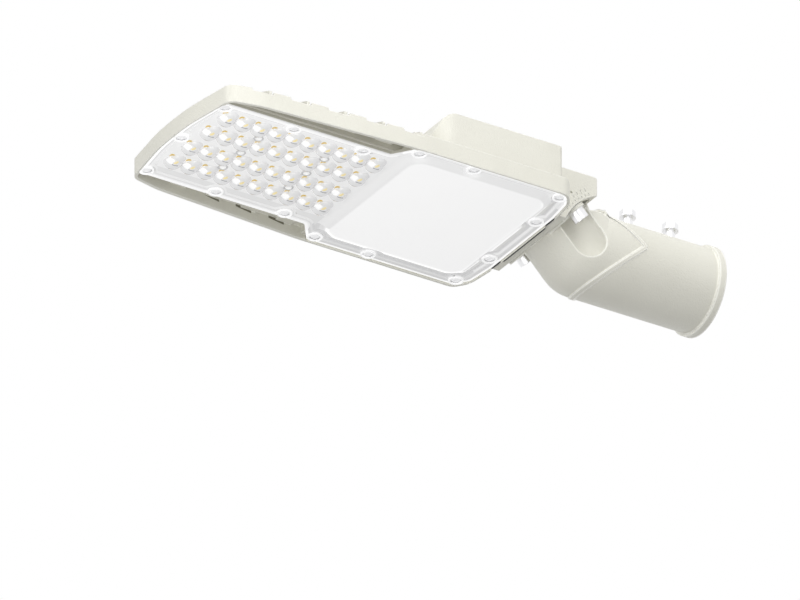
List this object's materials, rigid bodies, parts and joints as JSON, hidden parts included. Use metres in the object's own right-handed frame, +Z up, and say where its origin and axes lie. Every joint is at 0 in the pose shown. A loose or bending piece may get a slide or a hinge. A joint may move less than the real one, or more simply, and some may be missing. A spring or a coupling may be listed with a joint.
{
  "type": "led street light head",
  "caption": "Tilting LED street light head with a clear lens cover, driver box, cooling fins and a round spigot that slips over a 60 mm pole.",
  "frame": {"origin": "centre of the spigot's bore at its mouth, in the outer face of the collar", "axes": "+X along the bore and out of its mouth, towards the pole; +Y to the side; +Z up, so the light shines down along -Z and the head lies along -X"},
  "size_m": [0.4902, 0.172, 0.0896],
  "materials": {
    "painted_casting": "die-cast, with a cream powder coat and a fine orange peel",
    "clear_cover": "clear moulding with a frosted panel",
    "silicone": "matte silicone",
    "screw_steel": "stainless",
    "bolt_steel": "bright zinc",
    "board_white": "white solder mask",
    "led_phosphor": "yellow phosphor",
    "driver_case": "light grey",
    "surge_case": "off-white",
    "terminal_plastic": "white",
    "rubber_gland": "matte black"
  },
  "bodies": {
    "spigot_body": {"spigot": "painted_casting", "clamp_bolts": "bolt_steel", "clamp_washers": "bolt_steel", "clamp_nuts": "bolt_steel", "set_bolt_front": "bolt_steel", "set_bolt_rear": "bolt_steel"},
    "head": {"housing": "painted_casting", "lens_cover": "clear_cover", "cover_gasket": "silicone", "cover_screws": "screw_steel", "led_board": "board_white", "led_chips": "led_phosphor", "board_screws": "screw_steel", "driver": "driver_case", "driver_screws": "screw_steel", "cord_clamp": "terminal_plastic", "cord_clamp_screws": "screw_steel", "earth_tag": "bolt_steel", "earth_screw": "screw_steel", "surge_protector": "surge_case", "terminal_block": "terminal_plastic", "cable_gland": "rubber_gland"}
  },
  "joints": [
    {"name": "head_tilt", "type": "hinge", "parent": "spigot_body", "child": "head", "pos_m": [-0.1077, 0, -0.025], "axis": [0, 1, 0], "range_deg": [-13, 15]}
  ]
}
